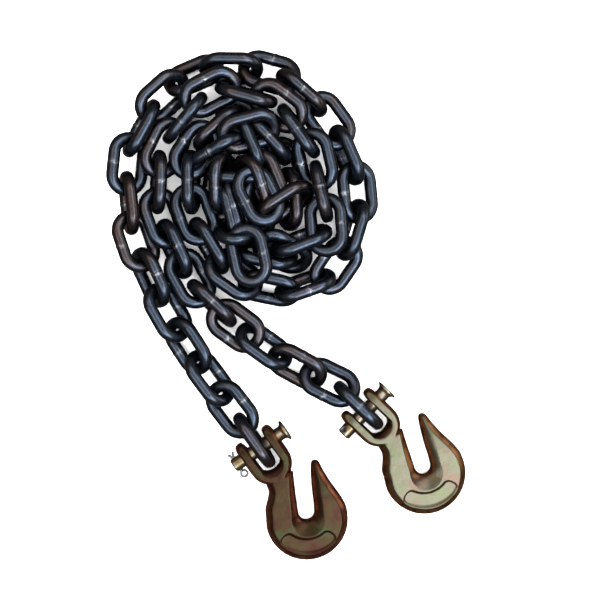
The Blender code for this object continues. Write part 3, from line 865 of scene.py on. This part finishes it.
def cotter_pin():
    shape = bpy.data.curves.new("cotter_pin", "CURVE")
    shape.dimensions = "3D"
    shape.bevel_depth, shape.bevel_resolution, shape.use_fill_caps = COTTER_WIRE, 3, True
    line = shape.splines.new("POLY")
    route = smooth_rows(cotter_route(), 3)
    line.points.add(len(route) - 1)
    for point, at in zip(line.points, route):
        point.co = (*at, 1.0)
        point.radius = 1.0 if abs(at[1]) < PIN_RADIUS else 1.25
    thing = bpy.data.objects.new("cotter_pin", shape)
    bpy.context.collection.objects.link(thing)
    graph = bpy.context.evaluated_depsgraph_get()
    mesh = bpy.data.meshes.new_from_object(thing.evaluated_get(graph))
    bpy.data.objects.remove(thing, do_unlink=True)
    mesh.shade_smooth()
    return mesh


cotter_mesh = cotter_pin()
print("faces in the cotter pin:", len(cotter_mesh.polygons))

# %% [markdown]
# ## Bright zinc
# The pins are plated zinc without the heavy film: silver with a little gold, smooth from turning,
# with fine rings round the shank. Zinc is a light grey metal. The lights here are several times
# brighter than full white, so its colour is kept to a middle grey, and its roughness is low.

# %% Bright zinc


def bright_zinc(name, light, warm, roughness):
    made, tree, shader = new_finish(name)
    where = add(tree, "ShaderNodeTexCoord").outputs["Object"]
    along = add(tree, "ShaderNodeAttribute", {"attribute_name": "along"}).outputs["Fac"]
    turning = add(tree, "ShaderNodeCombineXYZ", X=along)
    cloud = add(tree, "ShaderNodeTexNoise", Vector=where, Scale=per_metre(6), Detail=3.0)
    colour = ramp(tree, cloud.outputs["Fac"], ((0.38, linear(light)), (0.62, linear(warm))))
    rings = add(
        tree,
        "ShaderNodeTexWave",
        {"bands_direction": "X"},
        Vector=turning.outputs[0],
        Scale=per_metre(0.5) / 20,
    )
    relief = add(tree, "ShaderNodeBump", Strength=0.15, Distance=0.00005, Height=rings.outputs["Fac"])
    rough = add(
        tree,
        "ShaderNodeMapRange",
        Value=cloud.outputs["Fac"],
        To_Min=roughness - 0.06,
        To_Max=roughness + 0.08,
    )
    wire_to(tree, shader, Base_Color=colour, Roughness=rough.outputs[0], Metallic=1.0)
    wire_to(tree, shader, Normal=relief.outputs["Normal"])
    return made


turned_zinc = bright_zinc("turned_zinc", "#8f8b80", "#7d6f50", 0.32)
wire_zinc = bright_zinc("wire_zinc", "#77797b", "#5f5d57", 0.34)
PIN_TURN = {"a": math.radians(180), "b": math.radians(60)}  # of each pin in its ears, as it lies
kinds = (("clevis_pin", pin_mesh, turned_zinc), ("cotter_pin", cotter_mesh, wire_zinc))
for arm in ("a", "b"):
    for kind, mesh, finish in kinds:
        own = mesh.copy()
        own.materials.clear()
        own.materials.append(finish)
        along = [vertex.co.x for vertex in own.vertices]
        own.attributes.new("along", "FLOAT", "POINT").data.foreach_set("value", along)
        own.transform(hook_frame(arm) @ Matrix.Rotation(PIN_TURN[arm], 4, "X"))
        piece = bpy.data.objects.new(f"bright_{kind}_{arm}", own)
        bpy.context.collection.objects.link(piece)
        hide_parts(f"{kind}_{arm}")
        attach(piece, f"pin_{arm}")
for mesh in (pin_mesh, cotter_mesh):
    bpy.data.meshes.remove(mesh)
print("pins placed")

# %% [markdown]
# ## Floor, light and camera
# Dark metal shows only what it reflects, so the light is most of its look. Four softboxes stand in
# a ring round the camera, the brightest at the lower right, so that each wire carries a broad
# highlight on either side of a darker crest, as under a ring of windows. A weak one hangs overhead,
# and a low one lights the flanks on the right. The floor is plain and white and lit past full
# white, but it reflects dark in the metal, as a floor further away would, so that the undersides of
# the wires stay black.

# %% The floor and the world
FLOOR_HALF = 4.0  # metres


def white_floor():
    """White to the camera and to other light, and dark in the metal's reflections."""
    bm = bmesh.new()
    bmesh.ops.create_grid(bm, x_segments=1, y_segments=1, size=FLOOR_HALF)
    floor = standing(bm, "floor")
    paint, tree, shader = new_finish("floor_white")
    wire_to(tree, shader, Base_Color=linear("#f4f4f4"), Roughness=0.9, Specular_IOR_Level=0.1)
    path = add(tree, "ShaderNodeLightPath")
    dark = add(tree, "ShaderNodeBsdfDiffuse", Color=linear("#302b28"))
    mirrored = path.outputs["Is Glossy Ray"]
    seen = add(tree, "ShaderNodeMixShader", _0=mirrored, _1=shader.outputs[0], _2=dark.outputs[0])
    tree.links.new(seen.outputs[0], tree.nodes["Material Output"].inputs["Surface"])
    floor.data.materials.append(paint)


def studio_world():
    """A bright room for the floor, and a dim one in the metal's reflections."""
    world = bpy.data.worlds.new("studio")
    bpy.context.scene.world = world
    world.use_nodes = True
    tree = world.node_tree
    tree.nodes.clear()
    path = add(tree, "ShaderNodeLightPath")
    bright = add(tree, "ShaderNodeBackground", Color=linear("#ffffff"), Strength=5.0)
    dark = add(tree, "ShaderNodeBackground", Color=linear("#ffe9d8"), Strength=0.16)
    mirrored = path.outputs["Is Glossy Ray"]
    seen = add(tree, "ShaderNodeMixShader", _0=mirrored, _1=bright.outputs[0], _2=dark.outputs[0])
    add(tree, "ShaderNodeOutputWorld", Surface=seen.outputs[0])


white_floor()
studio_world()
print("floor and world ready")

# %% The lights
LIGHT_DISTANCE = 1.3  # metres from the middle of the floor


def softbox(name, azimuth, off_zenith, size, radiance, colour):
    """A rectangular light of a stated brightness, whatever its size, that faces the middle of the floor."""
    lamp = bpy.data.lights.new(name, "AREA")
    lamp.shape = "RECTANGLE"
    lamp.size, lamp.size_y = size
    lamp.energy = radiance * math.pi * size[0] * size[1]
    lamp.color = linear(colour)[:3]
    thing = bpy.data.objects.new(name, lamp)
    bpy.context.collection.objects.link(thing)
    azimuth, off_zenith = math.radians(azimuth), math.radians(off_zenith)
    flat = math.sin(off_zenith)
    away = Vector((flat * math.cos(azimuth), flat * math.sin(azimuth), math.cos(off_zenith)))
    thing.location = LIGHT_DISTANCE * away
    thing.rotation_euler = (-away).to_track_quat("-Z", "Y").to_euler()


softbox("overhead", 0, 0, (0.5, 0.5), 1.4, "#ffffff")
softbox("key", -45, 31, (1.0, 0.52), 8.5, "#eef5ff")
softbox("right", 45, 31, (1.0, 0.52), 4.2, "#f4f8ff")
softbox("left", -135, 31, (1.0, 0.52), 3.8, "#f6f8ff")
softbox("back", 135, 31, (1.0, 0.52), 2.2, "#ffe6d2")
softbox("low_right", 15, 76, (0.9, 0.4), 2.4, "#fff0e4")
print("lights:", len(bpy.data.lights))

# %% The camera
CAMERA_HEIGHT = 1.0
FRAME_WIDTH = 0.468
LOOK_AT = (0.0102, 0.0038)
MID_HEIGHT = 0.015


def overhead_camera():
    lens = bpy.data.cameras.new("camera")
    lens.sensor_width = 36.0
    lens.lens = lens.sensor_width * (CAMERA_HEIGHT - MID_HEIGHT) / FRAME_WIDTH
    camera = bpy.data.objects.new("camera", lens)
    bpy.context.collection.objects.link(camera)
    camera.location = (*LOOK_AT, CAMERA_HEIGHT)
    bpy.context.scene.camera = camera
    print("lens:", round(lens.lens, 1), "mm")


overhead_camera()
bpy.context.scene.view_settings.view_transform = "Standard"
